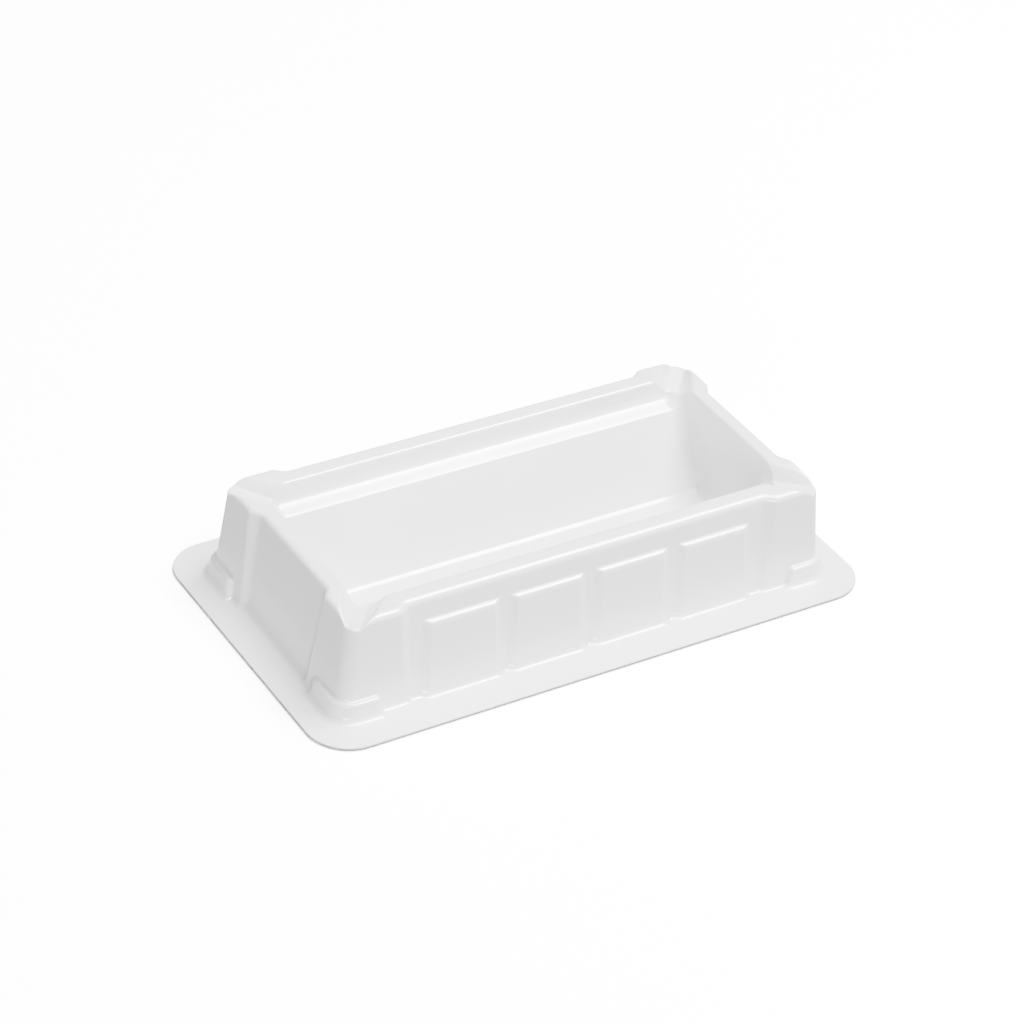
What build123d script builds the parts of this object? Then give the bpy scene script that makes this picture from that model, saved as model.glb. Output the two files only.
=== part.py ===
from build123d import *
import os
from math import cos, radians, sin, tan

# A reagent reservoir, formed from one sheet of white plastic.
# Millimetres, +Z up. The origin is the middle of the footprint, on the surface it stands on.
# +X runs along the trough and +Y across it. All four quarters are alike, so one is built and mirrored.

# --- the sheet ---
sheet = 0.8                 # thickness of the formed sheet
height = 25.0               # rim above the table

# --- the bowl: an upper band, a ledge on each long side, and a sloping trough ---
bowl_length = 109.5         # at the rim
bowl_width = 45.3
bowl_corner = 4.0
bowl_end_draft = 4.4        # degrees from upright, as all drafts
band_draft = 9.0            # long sides of the upper band
ledge_depth = 5.1           # below the rim
ledge_width = 3.9           # from the foot of the band to the trough
ledge_cove = 2.6            # radius between the band and the ledge
ledge_edge = 1.0            # radius between the ledge and the trough
floor_height = 4.0          # wet side of the floor above the table
floor_width = 11.2
floor_round = 2.2           # radius round the floor

# --- outer walls ---
rim_end = 3.85              # width of the rim's flat top over an end wall
rim_side = 4.75             # and over a long wall
end_draft = 8.0
side_draft = 6.0

# --- corner posts, proud of the walls ---
post_proud_end = 1.8        # how far a post stands out of an end wall at the rim
post_proud_side = 1.85      # and out of a long wall
post_side = 12.0            # width of each post face at the rim
post_bevel = 2.5            # run of the bevel from a post face back to the wall
post_end_draft = 6.0
post_side_draft = 3.0
cheek_draft = 4.5           # the posts widen downwards by this angle
post_corner = 3.2           # radius down the outer corner of a post
post_bevel_round = 1.2      # radius down the bevel's edge on the post
post_root = 2.2             # radius down the bevel's edge on the wall

# --- stepped feet round the posts ---
foot_height = 5.2
foot_proud = 1.5
foot_run_x = 9.0            # of a foot past its post's end face, along X
foot_run_y = 11.0           # of a foot past its post's side face, along Y
foot_draft = 6.0
foot_corner = 5.5
foot_round = 0.7            # radius on a foot's upper edge

# --- raised panels on the long walls ---
panel_width = 17.5          # at a panel's top
panel_gap = 4.2             # between the tops of two panels
panel_drop = 6.0            # top of a panel below the rim
panel_proud = 1.0
panel_side_draft = 2.0
panel_round = 1.0           # radius along a panel's upper edge

# --- pour spouts across the four posts ---
mouth_width = 8.1           # of the channel, at the rim, over the bowl's corner
mouth_depth = 2.75          # below the rim
lip_width = 6.1             # at the rim, over the post's corner
lip_depth = 1.65
spout_slope = 42.0          # degrees from upright, the channel's sides
spout_round = 1.0           # radius along both sides of the channel's floor

# --- the flange ---
flange_end = 8.7            # from the foot of an end wall to the flange's edge
flange_side = 10.2          # from the foot of a long wall
flange_corner = 10.0        # plan radius of the flange's corners

# --- soft edges ---
rim_round = 0.6
base_fillet = 1.2           # radius where the walls meet the flange
least_round = 0.3           # smallest radius on the hollow side
overrun = 2.0               # how far cutting shapes run past what they cut
hair = 0.001                # slack when picking edges by their place

# --- worked out from the sizes above, half across at the rim unless it says otherwise ---
wall_x = bowl_length / 2 + rim_end
wall_y = bowl_width / 2 + rim_side
post_x = wall_x + post_proud_end
post_y = wall_y + post_proud_side
flange_x = wall_x + height * tan(radians(end_draft)) + flange_end
flange_y = wall_y + height * tan(radians(side_draft)) + flange_side
panel_top = height - panel_drop
ledge_height = height - ledge_depth
band_foot_y = bowl_width / 2 - ledge_depth * tan(radians(band_draft))
trough_y = band_foot_y - ledge_width


def lean(draft, z):
    """How far a wall of this draft has moved at height z, compared with the rim."""
    return (height - z) * tan(radians(draft))


def quarter_block(low, high):
    """One quarter of a block that is larger than the reservoir, between two heights."""
    return Pos(flange_x, flange_y, (low + high) / 2) * Box(2 * flange_x, 2 * flange_y, high - low)


def cut_back(shape, point, normal, inset):
    """What is left of a shape on the inner side of a plane that is moved inwards by inset."""
    plane = Plane(origin=point, z_dir=normal).offset(-inset)
    return split(shape, bisect_by=plane, keep=Keep.BOTTOM)


def facing_x(draft):
    """Normal of an end wall that leans in towards the rim, or outwards if the draft is negative."""
    return (cos(radians(draft)), 0, sin(radians(draft)))


def facing_y(draft):
    """Normal of a long wall that leans in towards the rim, or outwards if the draft is negative."""
    return (0, cos(radians(draft)), sin(radians(draft)))


def edge_at(shape, point):
    """The edge of a shape that passes through a point."""
    return shape.edges().sort_by_distance(point)[0]


def soften(shape, points, radius):
    """Round the edges through these points. A tight bend is left sharp on the hollow side."""
    if radius > least_round:
        return fillet([edge_at(shape, p) for p in points], radius)
    return shape


def soften_top(shape, radius):
    """Round the edges of a shape's top face. A tight bend is left sharp on the hollow side."""
    if radius > least_round:
        return fillet(shape.edges().group_by(Axis.Z)[-1], radius)
    return shape


def walls(inset):
    """The drafted outer walls without their posts."""
    block = quarter_block(-overrun, height - inset)
    block = cut_back(block, (wall_x, 0, height), facing_x(end_draft), inset)
    return cut_back(block, (0, wall_y, height), facing_y(side_draft), inset)


def bevel_normal(run, proud, draft):
    """Along the wall, out of the wall and up: the way a post's bevel faces."""
    return (-proud, run, proud * tan(radians(cheek_draft)) + run * tan(radians(draft)))


def post(inset):
    """The corner post, with a bevel on each side that runs back to the wall."""
    x, y, z = bevel_normal(post_bevel, post_proud_end, post_end_draft)
    block = quarter_block(-overrun, height - inset)
    block = cut_back(block, (post_x, 0, height), facing_x(post_end_draft), inset)
    block = cut_back(block, (0, post_y, height), facing_y(post_side_draft), inset)
    block = cut_back(block, (post_x, post_y - post_side, height), (y, x, z), inset)
    long_side = bevel_normal(post_bevel, post_proud_side, post_side_draft)
    return cut_back(block, (post_x - post_side, post_y, height), long_side, inset)


def tub(inset):
    """Walls and post with their upright edges rounded."""
    middle = height / 2
    face_x = post_x + lean(post_end_draft, middle)
    face_y = post_y + lean(post_side_draft, middle)
    cheek_x = post_x - post_side - lean(cheek_draft, middle)
    cheek_y = post_y - post_side - lean(cheek_draft, middle)
    root_x = (cheek_x - post_bevel, wall_y + lean(side_draft, middle), middle)
    root_y = (wall_x + lean(end_draft, middle), cheek_y - post_bevel, middle)
    body = walls(inset) + post(inset)
    body = soften(body, [root_x, root_y], post_root + inset)
    body = soften(body, [(cheek_x, face_y, middle), (face_x, cheek_y, middle)], post_bevel_round - inset)
    return soften(body, [(face_x, face_y, middle)], post_corner - inset)


def foot(inset):
    """The stepped foot. Its inner part lies inside the post."""
    outer_x = post_x + lean(post_end_draft, foot_height) + foot_proud
    outer_y = post_y + lean(post_side_draft, foot_height) + foot_proud
    inner_x = outer_x - foot_proud - foot_run_x
    inner_y = outer_y - foot_proud - foot_run_y
    out, _, rise = facing_x(foot_draft)
    block = quarter_block(-overrun, foot_height - inset)
    block = cut_back(block, (outer_x, 0, foot_height), (out, 0, rise), inset)
    block = cut_back(block, (inner_x, 0, foot_height), (-out, 0, rise), inset)
    block = cut_back(block, (0, outer_y, foot_height), (0, out, rise), inset)
    block = cut_back(block, (0, inner_y, foot_height), (0, -out, rise), inset)
    block = soften(block, [(outer_x, outer_y, foot_height / 2)], foot_corner - inset)
    return soften_top(block, foot_round - inset)


def panel(middle_x, inset):
    """One raised panel of the long wall."""
    half = panel_width / 2
    out, _, rise = facing_x(panel_side_draft)
    block = quarter_block(-overrun, panel_top - inset)
    block = cut_back(block, (0, wall_y + panel_proud, height), facing_y(side_draft), inset)
    block = cut_back(block, (0, wall_y - overrun, height), (0, -1, 0), 0)
    block = cut_back(block, (middle_x + half, 0, panel_top), (out, 0, rise), inset)
    block = cut_back(block, (middle_x - half, 0, panel_top), (-out, 0, rise), inset)
    return soften_top(block, panel_round - inset)


def panels(inset):
    """The panels of one quarter. As many as fit stand in a row between the posts."""
    pitch = panel_width + panel_gap
    room = 2 * (post_x - post_side - lean(cheek_draft, 0) - post_bevel)
    count = int(room / pitch)
    places = [(i - (count - 1) / 2) * pitch for i in range(count)]
    return [panel(x, inset) for x in places if x > -pitch / 4]


def plate(inset):
    """The flange, or for the hollow side everything below the table line."""
    level = sheet - inset
    block = Pos(flange_x / 2, flange_y / 2, (level - overrun) / 2) * Box(flange_x, flange_y, level + overrun)
    return fillet(edge_at(block, (flange_x, flange_y, -overrun / 2)), flange_corner)


def lies_inside(edge, level):
    """Whether an edge lies at this level, clear of the flange's outline and of the middle planes."""
    box = edge.bounding_box()
    flat = abs(box.min.Z - level) < hair and abs(box.max.Z - level) < hair
    return flat and hair < box.max.X < flange_x - hair and hair < box.max.Y < flange_y - hair


def on_plate(shape, inset):
    """A shape joined to the flange with a soft bend along its foot."""
    joined = plate(inset) + shape
    bends = [e for e in joined.edges() if lies_inside(e, sheet - inset)]
    return fillet(bends, base_fillet + inset)


def envelope(inset):
    """Everything outside the bowl: flange, walls, post, foot and panels."""
    pieces = [tub(inset), foot(inset)] + panels(inset)
    body = on_plate(pieces[0], inset)
    for piece in pieces[1:]:
        body = body + on_plate(piece, inset)
    return body


def band(inset):
    """A quarter of the bowl's upper band, down to the ledge, as a plug grown outwards by inset."""
    level = ledge_height - inset
    block = quarter_block(level, height + overrun)
    block = cut_back(block, (bowl_length / 2, 0, height), facing_x(-bowl_end_draft), -inset)
    block = cut_back(block, (0, bowl_width / 2, height), facing_y(-band_draft), -inset)
    block = soften(block, [(bowl_length / 2, bowl_width / 2, height)], bowl_corner + inset)
    return fillet([e for e in block.edges() if lies_inside(e, level)], ledge_cove + inset)


def trough(inset):
    """A quarter of the trough below the ledge, as a plug grown outwards by inset."""
    level = floor_height - inset
    facing_slope = (0, ledge_height - floor_height, floor_width / 2 - trough_y)
    end_x = bowl_length / 2 - lean(bowl_end_draft, ledge_height)
    block = quarter_block(level, ledge_height + overrun)
    block = cut_back(block, (bowl_length / 2, 0, height), facing_x(-bowl_end_draft), -inset)
    block = cut_back(block, (0, trough_y, ledge_height), facing_slope, -inset)
    block = soften(block, [(end_x, trough_y, ledge_height)], bowl_corner + inset)
    return fillet([e for e in block.edges() if lies_inside(e, level)], floor_round + inset)


def spout(inset):
    """A pour channel as a plug grown outwards by inset, from the bowl's corner out over the post's."""
    start = Vector(bowl_length / 2, bowl_width / 2, height)
    stop = Vector(post_x, post_y, height)
    run = (stop - start).length
    along = (stop - start) / run
    across = Vector(-along.Y, along.X, 0)
    narrowing = (mouth_width - lip_width) / 2 / run
    rise = (mouth_depth - lip_depth) / run
    steep = cos(radians(spout_slope))
    down = Vector(0, 0, -sin(radians(spout_slope)))
    floor_point = start - Vector(0, 0, mouth_depth)
    floor_way = along * rise - Vector(0, 0, 1)
    length = 2.5 * run + overrun
    middle = start + along * (length / 2 - 1.5 * run)
    place = Plane(origin=middle, x_dir=along, z_dir=(0, 0, 1))
    block = place * Box(length, 2 * mouth_width, 2 * height)
    block = cut_back(block, start + Vector(0, 0, overrun), (0, 0, 1), 0)
    block = cut_back(block, floor_point, floor_way, -inset)
    for side in (across, -across):
        way = (side + along * narrowing).normalized() * steep + down
        block = cut_back(block, start + side * (mouth_width / 2), way, -inset)
    floor_half = across * (mouth_width / 2 - mouth_depth * tan(radians(spout_slope)))
    bends = [floor_point + floor_half, floor_point - floor_half]
    return soften(block, bends, spout_round + inset)


def bowl(inset):
    """A quarter of the bowl as a plug, grown outwards by inset."""
    body = band(inset) + trough(inset)
    return soften(body, [(bowl_length / 4, trough_y, ledge_height)], ledge_edge - inset)


def show_side():
    """A quarter of the reservoir as if it were solid, with soft edges round the rim and the channel."""
    basin = envelope(0) - bowl(0)
    channel = spout(0)
    poured = basin - channel
    ends = [e for e in new_edges(basin, channel, combined=poured) if not lies_inside(e, height)]
    rim = [e for e in poured.edges() if lies_inside(e, height)]
    return fillet(rim + ends, rim_round)


def tray():
    """The formed sheet: its show side, less the same shape one sheet's thickness further in."""
    hollow = envelope(sheet) - bowl(sheet) - spout(sheet)
    quarter = cut_back(show_side() - hollow, (0, 0, 0), (0, 0, -1), 0)
    half = quarter + mirror(quarter, about=Plane.YZ)
    return half + mirror(half, about=Plane.XZ)


os.makedirs("parts", exist_ok=True)
export_step(tray(), "parts/reservoir_tray.step")
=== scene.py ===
import math
from types import SimpleNamespace

import bpy
import numpy as np
from bpy.props import FloatProperty, FloatVectorProperty, PointerProperty
from mathutils import Matrix, Vector


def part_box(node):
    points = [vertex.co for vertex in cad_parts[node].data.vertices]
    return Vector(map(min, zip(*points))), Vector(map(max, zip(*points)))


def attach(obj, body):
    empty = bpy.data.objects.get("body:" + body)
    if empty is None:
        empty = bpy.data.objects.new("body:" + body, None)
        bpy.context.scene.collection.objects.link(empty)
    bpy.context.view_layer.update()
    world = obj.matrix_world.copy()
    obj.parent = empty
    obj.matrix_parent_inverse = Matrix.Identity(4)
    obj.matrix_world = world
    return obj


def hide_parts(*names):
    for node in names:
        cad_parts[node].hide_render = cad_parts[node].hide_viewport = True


bl_info = {
    "name": "Reagent reservoir",
    "version": (1, 0, 0),
    "blender": (4, 5, 0),
    "location": "View3D > Sidebar > Reservoir",
    "description": "Builds a white formed-sheet reagent reservoir on its pale studio floor",
    "category": "Add Mesh",
}

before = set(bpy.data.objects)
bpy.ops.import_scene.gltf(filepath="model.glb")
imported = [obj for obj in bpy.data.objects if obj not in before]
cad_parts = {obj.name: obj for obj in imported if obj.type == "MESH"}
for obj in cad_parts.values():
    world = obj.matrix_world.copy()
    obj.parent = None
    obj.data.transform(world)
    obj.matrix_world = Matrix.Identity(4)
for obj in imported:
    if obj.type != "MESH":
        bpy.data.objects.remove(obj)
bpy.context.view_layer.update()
TRAY_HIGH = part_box("reservoir_tray")[1]


# --- sizes and colours that a user may change ---

def length(title, default, text):
    """A length in metres."""
    return FloatProperty(name=title, description=text, default=default, unit="LENGTH", precision=5)


def angle(title, degrees, text):
    """An angle, given in degrees."""
    return FloatProperty(name=title, description=text, default=math.radians(degrees), subtype="ANGLE")


def share(title, default, text):
    """A share from nought to one."""
    return FloatProperty(name=title, description=text, default=default, min=0, max=1, subtype="FACTOR")


def power(title, default, text):
    """The power of a light in watts."""
    return FloatProperty(name=title, description=text, default=default, min=0, subtype="POWER")


class BowlSizes(bpy.types.PropertyGroup):
    sheet: length("Sheet", 0.0008, "Thickness of the formed sheet")
    length: length("Length", 0.1095, "Length of the bowl at the rim")
    width: length("Width", 0.0453, "Width of the bowl at the rim")
    corner: length("Corner", 0.0040, "Plan radius of the bowl's corners")
    end_draft: angle("End draft", 4.4, "Lean of the end walls")
    band_draft: angle("Band draft", 9.0, "Lean of the long sides above the ledge")
    ledge_depth: length("Ledge depth", 0.0051, "Depth of the ledge below the rim")
    ledge_width: length("Ledge width", 0.0039, "Width of the ledge on each long side")
    ledge_tilt: angle("Ledge tilt", 12.0, "Fall of the ledge towards the trough")
    ledge_cove: length("Ledge cove", 0.0026, "Radius between the band and the ledge")
    ledge_edge: length("Ledge edge", 0.0010, "Radius between the ledge and the trough")
    floor_height: length("Floor height", 0.0040, "Height of the trough's floor above the table")
    floor_width: length("Floor width", 0.0112, "Width of the trough's floor")
    floor_round: length("Floor radius", 0.0022, "Radius round the trough's floor")


class WallSizes(bpy.types.PropertyGroup):
    rim_end: length("Rim over the ends", 0.00385, "Width of the rim's flat top over an end wall")
    rim_side: length("Rim over the sides", 0.00475, "Width of the rim's flat top over a long wall")
    end_draft: angle("End draft", 8.0, "Lean of the outer end walls")
    side_draft: angle("Side draft", 6.0, "Lean of the outer long walls")
    rim_inner_round: length("Rim's inner radius", 0.0006, "Radius between the rim and the bowl")
    rim_outer_round: length("Rim's outer radius", 0.0013, "Radius between the rim and the outer walls")
    base_fillet: length("Base radius", 0.0015, "Radius between the walls and the flange")
    flange_corner: length("Flange corner", 0.0100, "Plan radius of the flange's corners")
    edge_top_round: length("Cut edge's upper radius", 0.00015, "Radius along the top of the flange's cut edge")
    edge_low_round: length("Cut edge's lower radius", 0.00045, "Radius along the foot of the flange's cut edge")


class PostSizes(bpy.types.PropertyGroup):
    proud_end: length("Stands out at the ends", 0.0018, "How far a post stands out of an end wall")
    proud_side: length("Stands out at the sides", 0.00185, "How far a post stands out of a long wall")
    side: length("Face width", 0.0120, "Width of each post face at the rim")
    bevel: length("Bevel run", 0.0025, "Run of the bevel from a post face back to the wall")
    end_draft: angle("End face draft", 6.0, "Lean of a post's end face")
    side_draft: angle("Side face draft", 3.0, "Lean of a post's side face")
    cheek_draft: angle("Cheek draft", 4.5, "How the posts widen downwards")
    corner: length("Corner", 0.0032, "Radius down the outer corner of a post")
    bevel_round: length("Bevel radius", 0.0012, "Radius down the bevel's edge on the post")
    root: length("Root radius", 0.0022, "Radius down the bevel's edge on the wall")
    foot_height: length("Foot height", 0.0052, "Height of the stepped foot")
    foot_proud: length("Foot step", 0.0015, "How far a foot stands out of its post")
    foot_run_x: length("Foot run along", 0.0090, "How far a foot reaches back along the long wall")
    foot_run_y: length("Foot run across", 0.0110, "How far a foot reaches back along the end wall")
    foot_draft: angle("Foot draft", 6.0, "Lean of the foot's sides")
    foot_corner: length("Foot corner", 0.0055, "Plan radius of the foot's outer corner")
    foot_end_round: length("Foot end radius", 0.0010, "Radius down a foot's ends")
    foot_round: length("Foot top radius", 0.0007, "Radius on a foot's upper edge")
    foot_root: length("Foot root radius", 0.0006, "Radius between a foot's top and the post")


class PanelSizes(bpy.types.PropertyGroup):
    width: length("Width", 0.0175, "Width of a raised panel at its top")
    gap: length("Gap", 0.0042, "Gap between the tops of two panels")
    drop: length("Drop", 0.0060, "Top of a panel below the rim")
    proud: length("Stands out", 0.0010, "How far a panel stands out of the wall")
    side_draft: angle("Side draft", 2.0, "How the panels widen downwards")
    ramp: angle("Side ramp", 32.0, "How steeply a panel's sides rise from the wall")
    shelf_tilt: angle("Shelf tilt", 30.0, "How steeply a panel's upper edge falls outwards")
    corner: length("Corner", 0.0012, "Radius down a panel's upright edges")
    round: length("Top radius", 0.0006, "Radius along a panel's upper edge")
    root: length("Root radius", 0.0005, "Radius where a panel meets the wall")


class SpoutSizes(bpy.types.PropertyGroup):
    mouth_width: length("Mouth width", 0.0081, "Width of the channel at the bowl's corner")
    mouth_depth: length("Mouth depth", 0.00275, "Depth of the channel at the bowl's corner")
    lip_width: length("Lip width", 0.0061, "Width of the channel over the post's corner")
    lip_depth: length("Lip depth", 0.00165, "Depth of the channel over the post's corner")
    slope: angle("Side slope", 42.0, "Lean of the channel's sides")
    round: length("Floor radius", 0.0006, "Radius along both sides of the channel's floor")
    edge: length("Mouth radius", 0.0003, "Radius where the channel meets the bowl")


class PlasticLook(bpy.types.PropertyGroup):
    colour: FloatVectorProperty(
        name="Colour", description="The white of the sheet", subtype="COLOR", default=(0.80, 0.80, 0.805))
    tint: share("Colour variation", 0.02, "How much the white varies over the sheet")
    tint_size: length("Colour patches", 0.0210, "Size of the patches in which the white varies")
    roughness: share("Roughness", 0.22, "How matt the sheet is")
    roughness_spread: share("Roughness variation", 0.06, "How much the sheen varies over the sheet")
    shine: share("Shine", 1.0, "How strongly the sheet reflects")
    # Painted shade: the die-cut edge is made darker than the sheet to stand in for the contact shadow along the
    # flange's foot
    cut_painted_shade: share("Cut edge shade", 0.42, "Brightness of the die-cut edge, compared with the sheet")
    cut_roughness: share("Cut edge roughness", 0.62, "How matt the die-cut edge is")
    grain: length("Grain", 0.0009, "Size of the fine grain that the mould leaves")
    grain_depth: length("Grain depth", 0.00004, "Depth of the fine grain")
    ripple: length("Ripple", 0.0140, "Length of the slow ripple of the formed sheet")
    ripple_depth: length("Ripple depth", 0.00035, "Depth of the slow ripple")


class Studio(bpy.types.PropertyGroup):
    floor_half: length("Floor", 3.0, "Half the size of the floor")
    floor_colour: FloatVectorProperty(
        name="Floor colour", description="The pale floor", subtype="COLOR", default=(0.30, 0.30, 0.30))
    floor_lift: FloatProperty(
        name="Floor lift", description="How much brighter the floor shows than it lights", default=9.0, min=1)
    key_power: power("Key light", 33, "Power of the softbox high over the right end")
    side_power: power("Side light", 24, "Power of the softbox high over the front right corner")
    fill_power: power("Fill light", 25, "Power of the softbox high over the front")
    top_power: power("Top light", 57, "Power of the softbox overhead")
    front_power: power("Front light", 28, "Power of the low softbox in front")
    glint_power: power("Glint lights", 28, "Power of each softbox that only shows as a reflection")
    ambient: FloatProperty(name="Ambient", description="Brightness of the room round the tray", default=0.0, min=0)
    white: FloatProperty(name="White", description="Brightness of the backdrop to the camera", default=16, min=0)


# --- the form of the sheet, as a signed distance ---

PANEL_ROOT_TURN = math.radians(50)  # how far the wall turns into a panel's sides and shelf, roughly
SLOPE_STEP = 2e-6                   # half the step over which the form's slopes are taken
HALVINGS = 26                       # of the search for the height of the surface
SETTLINGS = 3                       # of points onto the surface, each closer than the one before


def both(a, b, radius, cosine=0.0):
    """What two shapes share, with a round edge where they meet. cosine is that of their normals' angle."""
    p, q = a + radius, b + radius
    reach = np.sqrt(np.maximum(p * p + q * q - 2 * p * q * cosine, 0) / (1 - cosine * cosine)) - radius
    return np.where((p > q * cosine) & (q > p * cosine), reach, np.maximum(a, b))


def either(a, b, radius, cosine=0.0):
    """Two shapes joined, with a round root where they meet."""
    return -both(-a, -b, radius, cosine)


def facing(draft):
    """How far out and how far up a drafted wall faces."""
    return math.cos(draft), math.sin(draft)


def cosine_between(one, other):
    """Cosine of the angle between two directions."""
    one, other = np.array(one), np.array(other)
    return float(one @ other / math.sqrt((one @ one) * (other @ other)))


class Form:
    """The tray's shape. distance() is nought on the show side and less inside the sheet."""

    def __init__(self, bowl, wall, post, panel, spout):
        self.bowl, self.wall, self.post, self.panel, self.spout = bowl, wall, post, panel, spout
        self.flange_x, self.flange_y, self.height = TRAY_HIGH
        self.wall_x = bowl.length / 2 + wall.rim_end
        self.wall_y = bowl.width / 2 + wall.rim_side
        self.post_x = self.wall_x + post.proud_end
        self.post_y = self.wall_y + post.proud_side
        self.panel_top = self.height - panel.drop
        self.ledge_height = self.height - bowl.ledge_depth
        self.trough_y = bowl.width / 2 - bowl.ledge_depth * math.tan(bowl.band_draft) - bowl.ledge_width
        self.ledge_pivot = self.trough_y + bowl.ledge_width / 3
        self.panels = self.panel_places()

    def panel_places(self):
        """The middles of the panels, as many as fit between two posts."""
        pitch = self.panel.width + self.panel.gap
        room = 2 * (self.cheek_x(0) - self.post.bevel)
        count = int(room / pitch)
        return [(i - (count - 1) / 2) * pitch for i in range(count)]

    def lean(self, draft, z):
        """How far a wall has moved out at a height, compared with the rim."""
        return (self.height - z) * math.tan(draft)

    def cheek_x(self, z):
        """Where the face of a post ends on the long side."""
        return self.post_x - self.post.side - self.lean(self.post.cheek_draft, z)

    def cheek_y(self, z):
        """Where the face of a post ends on the end side."""
        return self.post_y - self.post.side - self.lean(self.post.cheek_draft, z)

    def plane(self, across, place, draft, z):
        """Distance outside a drafted wall that stands at place at the rim."""
        return (across - place - self.lean(draft, z)) * math.cos(draft)

    def bevel(self, along, across, z, face, cheek, proud, draft):
        """Distance outside a post's bevel, and the cosine between the bevel and the post's face."""
        run = self.post.bevel
        normal = np.array((-proud, run, proud * math.tan(self.post.cheek_draft) + run * math.tan(draft)))
        normal /= np.linalg.norm(normal)
        gap = (along - cheek) * normal[0] + (across - face) * normal[1] + (z - self.height) * normal[2]
        return gap, cosine_between(normal, (0, *facing(draft)))

    def post_block(self, x, y, z):
        """Distance outside a corner post, and the cosine, roughly, between its bevels and the walls."""
        p = self.post
        block = both(self.plane(x, self.post_x, p.end_draft, z), self.plane(y, self.post_y, p.side_draft, z), p.corner)
        gap, turn = self.bevel(x, y, z, self.post_y, self.post_x - p.side, p.proud_side, p.side_draft)
        block = both(block, gap, p.bevel_round, turn)
        gap, turn = self.bevel(y, x, z, self.post_x, self.post_y - p.side, p.proud_end, p.end_draft)
        return both(block, gap, p.bevel_round, turn), turn

    def foot_block(self, x, y, z):
        """Distance outside the stepped foot of a post."""
        p = self.post
        flare = (p.foot_height - z) * math.tan(p.foot_draft)
        outer_x = self.post_x + self.lean(p.end_draft, p.foot_height) + p.foot_proud
        outer_y = self.post_y + self.lean(p.side_draft, p.foot_height) + p.foot_proud
        inner_x = outer_x - p.foot_proud - p.foot_run_x
        inner_y = outer_y - p.foot_proud - p.foot_run_y
        square = math.cos(p.foot_draft)
        block = both((x - outer_x - flare) * square, (y - outer_y - flare) * square, p.foot_corner)
        block = both(block, (inner_x - flare - x) * square, p.foot_end_round)
        block = both(block, (inner_y - flare - y) * square, p.foot_end_round)
        return both(block, z - p.foot_height, p.foot_round)

    def panel_block(self, x, y, z):
        """Distance outside the nearest panel of the long wall."""
        p = self.panel
        nearest = np.min([np.abs(x - place) for place in self.panels], axis=0)
        flare = (self.panel_top - z) * math.tan(p.side_draft)
        face = self.plane(y, self.wall_y + p.proud, self.wall.side_draft, z)
        depth = np.maximum(face + p.proud / 2, -p.proud)
        side = (nearest - p.width / 2 - flare) * math.sin(p.ramp) + depth * math.cos(p.ramp)
        shelf = (z - self.panel_top) * math.cos(p.shelf_tilt) + face * math.sin(p.shelf_tilt)
        block = both(face, side, p.corner, math.cos(p.ramp))
        return both(block, shelf, p.round, math.sin(p.shelf_tilt))

    def bowl_hollow(self, x, y, z):
        """Distance outside the bowl: less than nought in the hollow."""
        b = self.bowl
        drop = self.ledge_height - b.floor_height
        spread = (self.trough_y - b.floor_width / 2) / drop
        tilt = spread / math.hypot(1, spread)
        slope = (y - b.floor_width / 2 - (z - b.floor_height) * spread) / math.hypot(1, spread)
        band = (y - b.width / 2 + self.lean(b.band_draft, z)) * math.cos(b.band_draft)
        fall = (y - self.ledge_pivot) * math.sin(b.ledge_tilt)
        ledge = (self.ledge_height - z) * math.cos(b.ledge_tilt) + fall
        upper = both(band, ledge, b.ledge_cove, math.sin(b.band_draft + b.ledge_tilt))
        lower = both(slope, b.floor_height - z, b.floor_round, tilt)
        section = either(upper, lower, b.ledge_edge, math.sin(math.asin(tilt) + b.ledge_tilt))
        end = (x - b.length / 2 + self.lean(b.end_draft, z)) * math.cos(b.end_draft)
        heights = (b.floor_height, b.floor_height + b.corner)
        corner = np.interp(z, heights, (b.floor_round, b.corner))
        return both(section, end, corner)

    def spout_hollow(self, x, y, z):
        """Distance outside the pour channel: less than nought in the hollow."""
        s = self.spout
        start = np.array((self.bowl.length / 2, self.bowl.width / 2))
        run = np.array((self.post_x, self.post_y)) - start
        reach = math.hypot(*run)
        way = run / reach
        along = ((x - start[0]) * way[0] + (y - start[1]) * way[1]) / reach
        across = np.abs((y - start[1]) * way[0] - (x - start[0]) * way[1])
        half = (s.mouth_width + (s.lip_width - s.mouth_width) * along) / 2
        depth = s.mouth_depth + (s.lip_depth - s.mouth_depth) * along
        side = (across - half + self.lean(s.slope, z)) * math.cos(s.slope)
        return both(side, self.height - depth - z, s.round, math.sin(s.slope))

    def distance(self, x, y, z):
        """Signed distance from the show side."""
        x, y = np.abs(x), np.abs(y)
        w = self.wall
        wall = both(
            self.plane(x, self.wall_x, w.end_draft, z), self.plane(y, self.wall_y, w.side_draft, z), self.post.corner)
        post, turn = self.post_block(x, y, z)
        block = either(wall, post, self.post.root, turn)
        block = either(block, self.panel_block(x, y, z), self.panel.root, math.cos(PANEL_ROOT_TURN))
        block = both(block, z - self.height, w.rim_outer_round)
        block = either(block, self.foot_block(x, y, z), self.post.foot_root)
        block = either(block, z - self.bowl.sheet, w.base_fillet)
        hollow = either(self.bowl_hollow(x, y, z), self.spout_hollow(x, y, z), self.spout.edge)
        return both(block, -hollow, w.rim_inner_round)

    def facing_way(self, points):
        """Unit normals of the form at points."""
        x, y, z = points.T
        step = SLOPE_STEP
        slopes = np.stack((
            self.distance(x + step, y, z) - self.distance(x - step, y, z),
            self.distance(x, y + step, z) - self.distance(x, y - step, z),
            self.distance(x, y, z + step) - self.distance(x, y, z - step)), axis=-1)
        return slopes / np.linalg.norm(slopes, axis=-1, keepdims=True)

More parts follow.
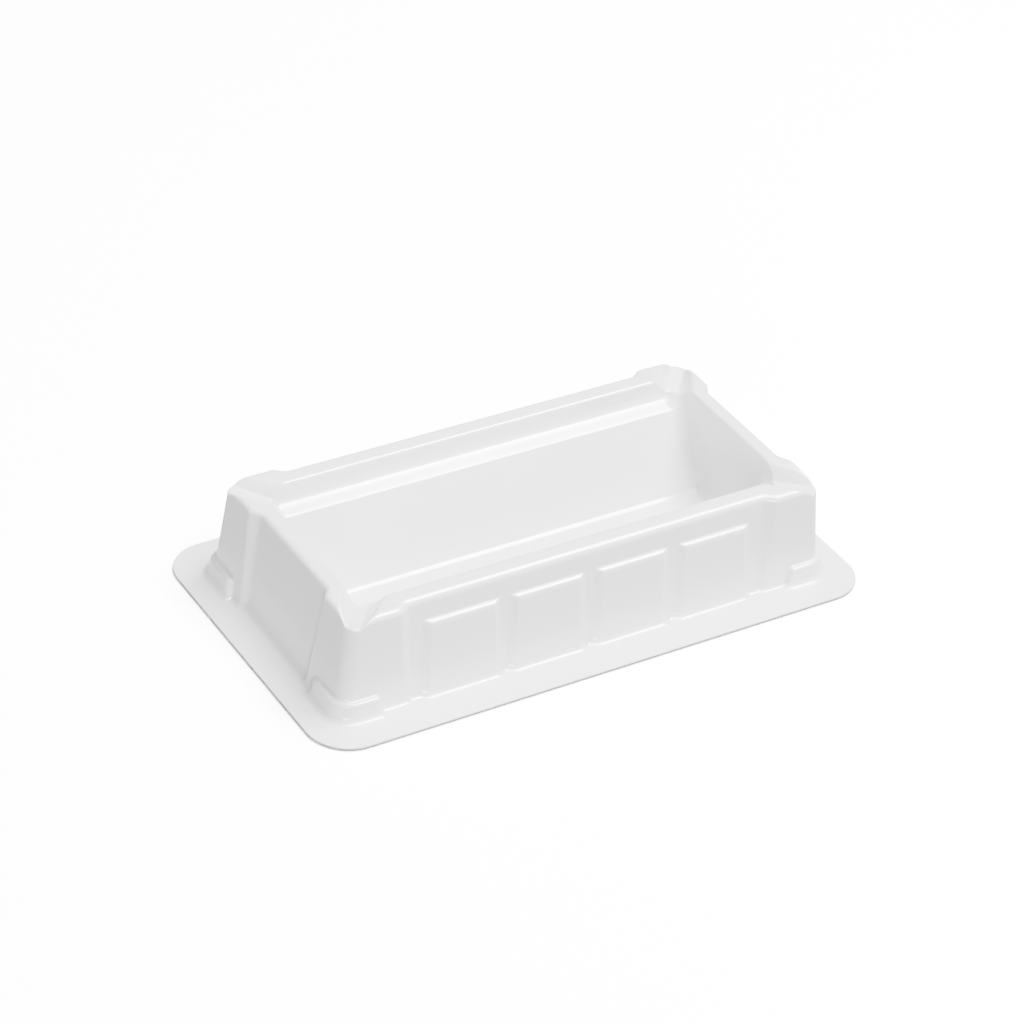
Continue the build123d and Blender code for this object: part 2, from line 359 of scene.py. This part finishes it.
    def height_over(self, x, y, level):
        """Height of the surface at this distance level over points of the plan."""
        low = np.full_like(x, -2 * self.bowl.sheet)
        high = np.full_like(x, self.height + self.bowl.sheet)
        for _ in range(HALVINGS):
            middle = (low + high) / 2
            outside = self.distance(x, y, middle) > level
            high = np.where(outside, middle, high)
            low = np.where(outside, low, middle)
        return (low + high) / 2

    def settle(self, points, level):
        """Points moved onto the surface at this distance level."""
        for _ in range(SETTLINGS):
            gap = self.distance(*points.T) - level
            points = points - gap[:, None] * self.facing_way(points)
        return points


# --- where the mesh lines run over the plan of one quarter ---

COARSE = 0.0026         # spacing of the mesh lines along a straight wall
FINE_STEPS = 4001       # along the rim, over which the spacing is worked out
BEVEL_BACK = 0.002      # from the edge of a post's face back to the middle of its bevel
CLEAR_OF_POST = 0.0045  # from the edge of a post's face to where the wall is plain again
CLEAR_SHARE = 0.7       # at most this share of the way from the end's middle to the channel is clear of the post
CORNER_POINTS = 33      # round a quarter circle


def outline(half_x, half_y, radius):
    """A quarter of a rounded rectangle, from the middle of its long side to the middle of its end."""
    turn = np.linspace(0, math.pi / 2, CORNER_POINTS)
    round_x = half_x - radius + radius * np.sin(turn)
    round_y = half_y - radius + radius * np.cos(turn)
    return np.array([(0, half_y), *zip(round_x, round_y), (half_x, 0)])


class Ring:
    """A closed line over the plan. Its nine marks are places that every mesh line keeps to.

    They are: middle of the long side, clear of the post, post's cheek, side of the channel, corner,
    and the same again in turn down to the middle of the end.
    """

    def __init__(self, half_x, half_y, radius, channel, clear, cheek=None):
        self.line = outline(half_x, half_y, radius)
        steps = np.hypot(*np.diff(self.line, axis=0).T)
        self.along = np.concatenate(([0], np.cumsum(steps)))
        total = self.along[-1]
        corner = (self.along[1] + self.along[-2]) / 2
        reach = radius * math.pi / 4 + (channel - radius * math.sin(math.pi / 4)) * math.sqrt(2)
        first, last = clear[0], total - min(clear[1], CLEAR_SHARE * (total - corner - reach))
        if cheek is None:
            cheeks = (first + corner - reach) / 2, (last + corner + reach) / 2
        else:
            cheeks = cheek[0], total - cheek[1]
        self.marks = [0, first, cheeks[0], corner - reach, corner, corner + reach, cheeks[1], last, total]

    def at(self, station):
        """The point of the ring at a station. Stations count its marks."""
        place = np.interp(station, range(len(self.marks)), self.marks)
        return np.array([np.interp(place, self.along, self.line[:, axis]) for axis in (0, 1)])

    def station(self, place):
        """The station at a distance along the ring."""
        return np.interp(place, self.marks, range(len(self.marks)))


def rings_over(form):
    """The rings that the mesh lines cross, from the flange's edge to the middle of the floor."""
    sheet, bowl, post, wall = form.bowl.sheet, form.bowl, form.post, form.wall
    clear = (max(form.panels) + (form.panel.width + form.panel.gap) / 2, form.cheek_y(form.height) - CLEAR_OF_POST)
    low_cheek = (form.cheek_x(sheet), form.cheek_y(sheet))
    high_cheek = (form.cheek_x(form.height), form.cheek_y(form.height))
    step = post.foot_proud + post.foot_height * math.tan(post.foot_draft) + wall.base_fillet
    base_x = form.post_x + form.lean(post.end_draft, post.foot_height) + step
    base_y = form.post_y + form.lean(post.side_draft, post.foot_height) + step
    edge = wall.edge_low_round
    end_at_ledge = bowl.length / 2 - form.lean(bowl.end_draft, form.ledge_height)
    end_at_floor = bowl.length / 2 - form.lean(bowl.end_draft, bowl.floor_height)
    flange_round = wall.flange_corner - edge
    base_round = post.foot_corner + wall.base_fillet
    return (
        Ring(form.flange_x - edge, form.flange_y - edge, flange_round, flange_round, clear, low_cheek),
        Ring(base_x, base_y, base_round, base_round, clear, low_cheek),
        Ring(form.post_x, form.post_y, post.corner, form.spout.lip_width / 2, clear, high_cheek),
        Ring(bowl.length / 2, bowl.width / 2, bowl.corner, form.spout.mouth_width / 2, clear),
        Ring(end_at_ledge, form.trough_y, bowl.corner, bowl.corner, clear),
        Ring(end_at_floor, bowl.floor_width / 2, bowl.floor_round, bowl.floor_round, clear),
        Ring(bowl.length / 2 - bowl.floor_width / 2, 0, 0, 0, clear))


def stations_over(form, rim):
    """Where the mesh lines cross the rim: closer together wherever the sheet turns along it."""
    total, corner = rim.marks[-1], rim.marks[4]
    sides = [place + half for place in form.panels for half in (-form.panel.width / 2, form.panel.width / 2)]
    foot_x = form.post_x + form.lean(form.post.end_draft, form.post.foot_height) - form.post.foot_run_x
    foot_y = form.post_y + form.lean(form.post.side_draft, form.post.foot_height) - form.post.foot_run_y
    channel_floor = form.spout.lip_width / 2 - form.spout.lip_depth * math.tan(form.spout.slope)
    cheeks, channels = (rim.marks[2], rim.marks[6]), (rim.marks[3], rim.marks[5])
    crowds = (                              # places, how far round them, and how much closer the lines run
        ([side for side in sides if side > 0], 0.0013, 14),
        ((foot_x, total - foot_y), 0.0011, 13),
        (cheeks, 0.0009, 8),
        ((cheeks[0] - BEVEL_BACK, cheeks[1] + BEVEL_BACK), 0.0014, 6),
        (channels, 0.0008, 10),
        ((corner - channel_floor, corner + channel_floor), 0.0007, 5),
        ((corner,), 0.0025, 5))
    fine = np.linspace(0, total, FINE_STEPS)
    density = np.ones_like(fine) / COARSE
    for middles, reach, times in crowds:
        for middle in middles:
            density += times / COARSE * np.exp(-((fine - middle) / reach) ** 2)
    grown = np.concatenate(([0], np.cumsum((density[1:] + density[:-1]) / 2 * np.diff(fine))))
    places = np.interp(np.linspace(0, grown[-1], math.ceil(grown[-1]) + 1), grown, fine)
    return rim.station(places)


# --- from the form to a mesh ---

SAMPLES = (140, 420, 200, 260, 260, 60)     # along a mesh line, from ring to ring
STRAIGHT = 0.0015                           # spacing of rows along straight stretches, before they are fitted
BEND = math.radians(9)                      # turn of the sheet from row to row
SHOW_ROWS = (20, 16, 13, 13, 17, 8, 12)     # flange, lower wall, upper wall, rim, ledge, slope and floor
HOLLOW_ROWS = (10, 8, 6, 6, 8, 5, 6)
EDGE_TURNS = (30, 60, 90)                   # degrees round each corner of the flange's cut edge
ABOVE_FOOT, BELOW_RIM = 0.0018, 0.0034      # where the plain part of the outer wall starts and ends
BELOW_LEDGE, ABOVE_FLOOR = 0.0009, 0.0025   # where the plain part of the trough's side starts and ends
INNER_DROP = 1.5                            # how much lower these lie on the hollow side, in sheet thicknesses
WELD = 1e7                                  # steps to the metre: points on the same step are one


def thinned(points, stops, counts):
    """Points along a profile between its stops, closer together where it bends."""
    steps = np.diff(points, axis=0)
    lengths = np.linalg.norm(steps, axis=1)
    ways = steps / lengths[:, None]
    turns = np.linalg.norm(np.diff(ways, axis=0), axis=1)
    turns = np.concatenate((turns[:1], turns))
    grown = np.concatenate(([0], np.cumsum(lengths / STRAIGHT + turns / BEND)))
    places = [np.linspace(grown[a], grown[b], count, endpoint=False)
              for a, b, count in zip(stops[:-1], stops[1:], counts)]
    places = np.concatenate(places + [grown[-1:]])
    return np.stack([np.interp(places, grown, points[:, axis]) for axis in range(3)], axis=-1)


def face_of(form, rings, stations, level, counts):
    """The points of one face of the sheet, as stations by rows, from the flange's edge to the middle."""
    lines = []
    for station in stations:
        crossings = np.array([ring.at(station) for ring in rings])
        runs = [np.linspace(a, b, count, endpoint=False)
                for a, b, count in zip(crossings[:-1], crossings[1:], SAMPLES)]
        lines.append(np.vstack(runs + [crossings[-1:]]))
    lines = np.array(lines)
    heights = form.height_over(lines[..., 0].ravel(), lines[..., 1].ravel(), level).reshape(lines.shape[:2])
    rim = sum(SAMPLES[:2]) + SAMPLES[2] // 2
    drop = INNER_DROP * level
    above_foot, below_rim, below_ledge, above_floor = (height + drop for height in (
        form.post.foot_height + ABOVE_FOOT, form.height - BELOW_RIM,
        form.ledge_height - BELOW_LEDGE, form.bowl.floor_height + ABOVE_FLOOR))
    rows = []
    for line, height in zip(lines, heights):
        inner = height[rim:]
        stops = (0, np.argmax(height > above_foot), np.argmax(height > below_rim), rim,
                 rim + np.argmax(inner < below_rim), rim + np.argmax(inner < below_ledge),
                 rim + np.argmax(inner < above_floor), len(height) - 1)
        rows.append(thinned(np.column_stack((line, height)), stops, counts))
    points = np.array(rows)
    flat = form.settle(points.reshape(-1, 3), level)
    normals = form.facing_way(flat) * (1 if level == 0 else -1)
    return flat.reshape(points.shape), normals.reshape(points.shape)


def edge_of(form, edge_points):
    """The rows round the flange's cut edge, from its lower to its upper side."""
    low, top = form.wall.edge_low_round, form.wall.edge_top_round
    inner = np.array((form.flange_x, form.flange_y)) - form.wall.flange_corner
    out = np.maximum(edge_points[:, :2] - inner, 0)
    out /= np.linalg.norm(out, axis=1, keepdims=True)
    rows, normals = [], []
    turns = [(turn, -1, low) for turn in EDGE_TURNS] + [(turn, 1, top) for turn in (*EDGE_TURNS[::-1], 0)]
    for turn, way, radius in turns:
        turn = math.radians(turn)
        middle = radius if way < 0 else form.bowl.sheet - radius
        plan = edge_points[:, :2] + out * (low - radius + radius * math.sin(turn))
        height = np.full(len(plan), middle + way * radius * math.cos(turn))
        rows.append(np.column_stack((plan, height)))
        normals.append(np.column_stack((out * math.sin(turn), np.full(len(plan), way * math.cos(turn)))))
    return np.stack(rows, axis=1), np.stack(normals, axis=1)


def quarter_of(form):
    """Points and normals of one quarter, from the underside round the edge to the floor, and its cut rows."""
    rings = rings_over(form)
    stations = stations_over(form, rings[2])
    hollow, hollow_normals = face_of(form, rings, stations, -form.bowl.sheet, HOLLOW_ROWS)
    show, show_normals = face_of(form, rings, stations, 0.0, SHOW_ROWS)
    hollow[:, 0, :2] = show[:, 0, :2]
    edge, edge_normals = edge_of(form, show[:, 0])
    points = np.concatenate((hollow[:, ::-1], edge, show), axis=1)
    normals = np.concatenate((hollow_normals[:, ::-1], edge_normals, show_normals), axis=1)
    cut = hollow.shape[1] - 1, hollow.shape[1] + edge.shape[1] - 1
    return points, normals, cut


def mirrored(points, normals, cut):
    """All four quarters as points, normals, quads and which are cut edge, joined along the middle planes."""
    stations, rows = points.shape[:2]
    is_cut = np.tile((np.arange(rows - 1) >= cut[0]) & (np.arange(rows - 1) < cut[1]), 4 * (stations - 1))
    index = np.arange(stations * rows).reshape(stations, rows)
    quads = np.stack((index[:-1, :-1], index[:-1, 1:], index[1:, 1:], index[1:, :-1]), axis=-1).reshape(-1, 4)
    all_points, all_normals, all_quads = [], [], []
    for way in ((1, 1, 1), (-1, 1, 1), (1, -1, 1), (-1, -1, 1)):
        turned = quads if way[0] * way[1] > 0 else quads[:, ::-1]
        all_quads.append(turned + len(all_points) * stations * rows)
        all_points.append(points.reshape(-1, 3) * way)
        all_normals.append(normals.reshape(-1, 3) * way)
    points, normals, quads = map(np.vstack, (all_points, all_normals, all_quads))
    _, kept, place = np.unique(np.round(points * WELD), axis=0, return_index=True, return_inverse=True)
    return points[kept], normals[kept], place.ravel()[quads], is_cut


def sheet_mesh(form):
    """The mesh of the tray, with the form's own normals."""
    points, normals, quads, is_cut = mirrored(*quarter_of(form))
    faces = [(tuple(dict.fromkeys(quad)), cut) for quad, cut in zip(quads.tolist(), is_cut.tolist())]
    faces = [(face, cut) for face, cut in faces if len(face) > 2]
    mesh = bpy.data.meshes.new("tray_sheet")
    mesh.from_pydata(points.tolist(), [], [face for face, _ in faces])
    mesh.polygons.foreach_set("material_index", [int(cut) for _, cut in faces])
    mesh.shade_smooth()
    mesh.normals_split_custom_set_from_vertices(normals.tolist())
    return mesh


# --- the white plastic ---

NOISE_LOW, NOISE_HIGH = 0.3, 0.7    # nearly all of a noise lies between these
POLYSTYRENE_IOR = 1.55
RIPPLE_STRENGTH, GRAIN_STRENGTH = 0.25, 0.10
GLOW = 0.12                         # share of the light that wanders through the sheet
GLOW_REACH = 0.0012                 # how far it wanders
GLOW_COLOURS = (1.0, 0.95, 0.9)


def plastic(name, look, shade, roughness):
    """White polystyrene: a fine grain, a slow ripple and a sheen that varies a little. Its colour is multiplied by
    shade; below one, as on the cut edge, that is painted shade.
    """
    material = bpy.data.materials.new(name)
    material.use_nodes = True
    nodes, links = material.node_tree.nodes, material.node_tree.links
    shader = nodes["Principled BSDF"]
    place = nodes.new("ShaderNodeTexCoord")

    def noise(size, detail, unevenness=0.5):
        texture = nodes.new("ShaderNodeTexNoise")
        texture.inputs["Scale"].default_value = 1 / size
        texture.inputs["Detail"].default_value = detail
        texture.inputs["Roughness"].default_value = unevenness
        links.new(place.outputs["Object"], texture.inputs["Vector"])
        return texture.outputs["Fac"]

    def between(value, low, high):
        span = nodes.new("ShaderNodeMapRange")
        span.inputs["From Min"].default_value = NOISE_LOW
        span.inputs["From Max"].default_value = NOISE_HIGH
        span.inputs["To Min"].default_value = low
        span.inputs["To Max"].default_value = high
        links.new(value, span.inputs["Value"])
        return span.outputs["Result"]

    def bump(height, depth, strength):
        relief = nodes.new("ShaderNodeBump")
        relief.inputs["Strength"].default_value = strength
        relief.inputs["Distance"].default_value = depth
        links.new(height, relief.inputs["Height"])
        return relief

    ramp = nodes.new("ShaderNodeValToRGB")
    # shade darkens the white; below one it is painted shade, standing in for the contact shadow on the cut edge
    colour = Vector(look.colour) * shade
    stops = (NOISE_LOW, colour * (1 - look.tint)), (NOISE_HIGH, colour)
    for stop, (position, tone) in zip(ramp.color_ramp.elements, stops):
        stop.position, stop.color = position, (*tone, 1)
    links.new(noise(look.tint_size, 3), ramp.inputs["Fac"])
    links.new(ramp.outputs["Color"], shader.inputs["Base Color"])
    half = look.roughness_spread / 2
    links.new(between(noise(look.ripple, 4, 0.6), roughness - half, roughness + half),
              shader.inputs["Roughness"])
    slow = bump(noise(look.ripple, 1), look.ripple_depth, RIPPLE_STRENGTH)
    fine = bump(noise(look.grain, 2), look.grain_depth, GRAIN_STRENGTH)
    links.new(slow.outputs["Normal"], fine.inputs["Normal"])
    links.new(fine.outputs["Normal"], shader.inputs["Normal"])
    shader.inputs["IOR"].default_value = POLYSTYRENE_IOR
    shader.inputs["Specular IOR Level"].default_value = look.shine
    shader.inputs["Subsurface Weight"].default_value = GLOW
    shader.inputs["Subsurface Radius"].default_value = GLOW_COLOURS
    shader.inputs["Subsurface Scale"].default_value = GLOW_REACH
    return material


# --- the studio ---

def linked(name, data):
    """A new object of the scene."""
    made = bpy.data.objects.new(name, data)
    bpy.context.scene.collection.objects.link(made)
    return made


def floor_paint(studio):
    """Pale matt paint. It shows brighter to the camera than it lights the tray, as a lit backdrop does."""
    material = bpy.data.materials.new("studio_floor")
    material.use_nodes = True
    nodes, links = material.node_tree.nodes, material.node_tree.links
    nodes.remove(nodes["Principled BSDF"])
    matt = nodes.new("ShaderNodeBsdfDiffuse")
    path = nodes.new("ShaderNodeLightPath")
    mix = nodes.new("ShaderNodeMix")
    mix.data_type = "RGBA"
    mix.inputs["A"].default_value = (*studio.floor_colour, 1)
    mix.inputs["B"].default_value = (*(Vector(studio.floor_colour) * studio.floor_lift), 1)
    links.new(path.outputs["Is Camera Ray"], mix.inputs["Factor"])
    links.new(mix.outputs["Result"], matt.inputs["Color"])
    links.new(matt.outputs["BSDF"], nodes["Material Output"].inputs["Surface"])
    return material


def room(studio):
    """The room's own light, with a white wall to the camera behind the floor."""
    world = bpy.data.worlds.new("studio_room")
    world.use_nodes = True
    nodes, links = world.node_tree.nodes, world.node_tree.links
    path = nodes.new("ShaderNodeLightPath")
    mix = nodes.new("ShaderNodeMix")
    mix.inputs["A"].default_value = studio.ambient
    mix.inputs["B"].default_value = studio.white
    links.new(path.outputs["Is Camera Ray"], mix.inputs["Factor"])
    links.new(mix.outputs["Result"], nodes["Background"].inputs["Strength"])
    nodes["Background"].inputs["Color"].default_value = (1, 1, 1, 1)
    return world


def softbox(name, power, size, azimuth, elevation, distance=1.5):
    """A round softbox that faces the tray. Azimuth 0 is in front of a long side and 90 at the right end."""
    azimuth, elevation = math.radians(azimuth), math.radians(elevation)
    way = Vector((math.sin(azimuth) * math.cos(elevation), -math.cos(azimuth) * math.cos(elevation),
                  math.sin(elevation)))
    data = bpy.data.lights.new(name, "AREA")
    data.shape = "DISK"
    data.size = size
    data.energy = power
    light = linked(name, data)
    light.location = way * distance
    light.rotation_euler = way.to_track_quat("Z", "Y").to_euler()
    return light


def camera(yaw, pitch, roll, distance, lens, shift):
    """The camera, aimed at the middle of the footprint from a yaw, a pitch and a roll in degrees."""
    yaw, pitch, roll = map(math.radians, (yaw, pitch, roll))
    right = Vector((math.cos(yaw), math.sin(yaw), 0))
    back = Vector((math.sin(yaw) * math.cos(pitch), -math.cos(yaw) * math.cos(pitch), math.sin(pitch)))
    up = back.cross(right)
    turned = math.cos(roll) * right + math.sin(roll) * up
    raised = -math.sin(roll) * right + math.cos(roll) * up
    data = bpy.data.cameras.new("studio_camera")
    eye = linked("studio_camera", data)
    eye.matrix_world = Matrix((turned, raised, back)).transposed().to_4x4()
    eye.location = back * distance
    data.lens = lens
    data.shift_x, data.shift_y = shift
    data.clip_start = distance / 10
    bpy.context.scene.camera = eye


# --- operators ---

def plain(group):
    """The values of a property group, for the maths."""
    return SimpleNamespace(**{name: getattr(group, name) for name in group.__annotations__})


class RESERVOIR_OT_tray(bpy.types.Operator):
    """Build the formed sheet: flange, walls, posts, feet, panels, spouts, rim, ledge and trough"""
    bl_idname = "reservoir.tray"
    bl_label = "Tray"

    def execute(self, context):
        scene = context.scene
        form = Form(*map(plain, (
            scene.reservoir_bowl, scene.reservoir_wall, scene.reservoir_post, scene.reservoir_panel,
            scene.reservoir_spout)))
        tray = linked("tray_sheet", sheet_mesh(form))
        look = scene.reservoir_look
        tray.data.materials.append(plastic("white_sheet", look, 1, look.roughness))
        # The cut edge's material is rougher than the sheet, as a real cut edge is, and darker: painted shade standing
        # in for the contact shadow under the flange's edge
        tray.data.materials.append(plastic("cut_edge_with_painted_shade", look, look.cut_painted_shade, look.cut_roughness))
        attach(tray, "root")
        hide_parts("reservoir_tray")
        return {"FINISHED"}


class RESERVOIR_OT_stage(bpy.types.Operator):
    """Set up the pale floor, the room, the softboxes and the camera"""
    bl_idname = "reservoir.stage"
    bl_label = "Stage"

    def execute(self, context):
        studio = context.scene.reservoir_studio
        half = studio.floor_half
        mesh = bpy.data.meshes.new("studio_floor")
        corners = [(-half, -half, 0), (half, -half, 0), (half, half, 0), (-half, half, 0)]
        mesh.from_pydata(corners, [], [(0, 1, 2, 3)])
        mesh.materials.append(floor_paint(studio))
        linked("studio_floor", mesh)
        context.scene.world = room(studio)
        softbox("key_light", studio.key_power, 0.40, azimuth=97, elevation=62)
        softbox("side_light", studio.side_power, 0.40, azimuth=66, elevation=60)
        softbox("fill_light", studio.fill_power, 0.50, azimuth=20, elevation=60)
        softbox("top_light", studio.top_power, 0.70, azimuth=75, elevation=81)
        softbox("front_light", studio.front_power, 0.50, azimuth=-34, elevation=12)
        for name, azimuth, elevation in (("ledge_glint", 124, 57), ("shelf_glint", 69, 61)):
            softbox(name, studio.glint_power, 0.40, azimuth, elevation).visible_diffuse = False
        camera(yaw=-34.213, pitch=36.148, roll=5.272, distance=0.7765, lens=120.19, shift=(-0.00548, 0.05987))
        return {"FINISHED"}


class RESERVOIR_PT_build(bpy.types.Panel):
    """Buttons and sizes of the reagent reservoir"""
    bl_label = "Reagent reservoir"
    bl_space_type = "VIEW_3D"
    bl_region_type = "UI"
    bl_category = "Reservoir"

    def draw(self, context):
        for operator in OPERATORS:
            self.layout.operator(operator.bl_idname)
        for name in GROUPS:
            group = getattr(context.scene, name)
            box = self.layout.box()
            box.label(text=GROUPS[name].bl_rna.name)
            for value in group.__annotations__:
                box.prop(group, value)


GROUPS = {
    "reservoir_bowl": BowlSizes,
    "reservoir_wall": WallSizes,
    "reservoir_post": PostSizes,
    "reservoir_panel": PanelSizes,
    "reservoir_spout": SpoutSizes,
    "reservoir_look": PlasticLook,
    "reservoir_studio": Studio,
}
OPERATORS = (RESERVOIR_OT_tray, RESERVOIR_OT_stage)
CLASSES = (*GROUPS.values(), *OPERATORS, RESERVOIR_PT_build)


def register():
    """Add the operators, the panel and the sizes to Blender."""
    for made in CLASSES:
        bpy.utils.register_class(made)
    for name, group in GROUPS.items():
        setattr(bpy.types.Scene, name, PointerProperty(type=group))


def unregister():
    """Take them out again."""
    for name in GROUPS:
        delattr(bpy.types.Scene, name)
    for made in reversed(CLASSES):
        bpy.utils.unregister_class(made)


def main():
    """Build the tray and the studio."""
    register()
    bpy.ops.reservoir.tray()
    bpy.ops.reservoir.stage()


if __name__ == "__main__":
    main()
